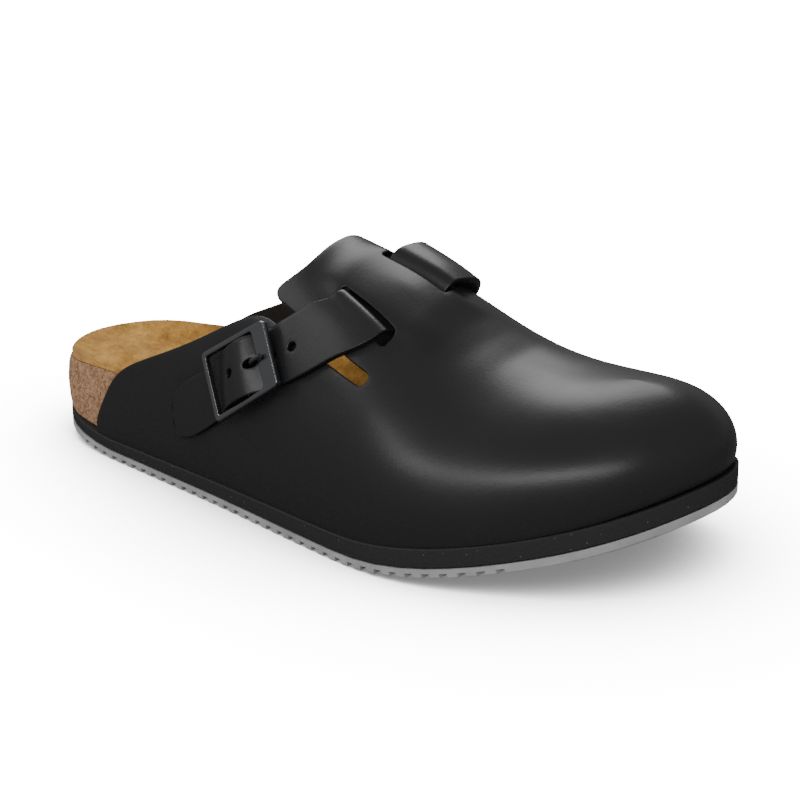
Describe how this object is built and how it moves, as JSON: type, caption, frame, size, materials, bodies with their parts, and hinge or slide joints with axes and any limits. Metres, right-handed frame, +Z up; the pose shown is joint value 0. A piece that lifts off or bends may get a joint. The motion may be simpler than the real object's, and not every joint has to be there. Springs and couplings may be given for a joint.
{
  "type": "clog",
  "caption": "Closed-toe leather clog for the right foot with open heel, cork footbed, notched rubber outsole and one strap through two slots, held by a slide buckle",
  "frame": {"origin": "on the floor under the middle of the heel pad", "axes": "+X toward the toe, +Y toward the inner side of the foot, +Z up"},
  "size_m": [0.2873, 0.1117, 0.0966],
  "materials": {
    "grey_rubber": "matte moulded rubber",
    "black_foam": "matte closed-cell foam",
    "cork": "pressed cork granules, unpainted",
    "tan_suede": "suede nap",
    "black_leather": "smooth, semi-gloss",
    "black_metal": "glossy black plating"
  },
  "bodies": {
    "root": {"outsole": "grey_rubber", "midsole": "black_foam", "footbed": "cork", "footbed_lining": "tan_suede", "upper": "black_leather", "strap": "black_leather", "buckle_frame": "black_metal", "buckle_prong": "black_metal", "buckle_anchor": "black_leather"}
  },
  "joints": []
}
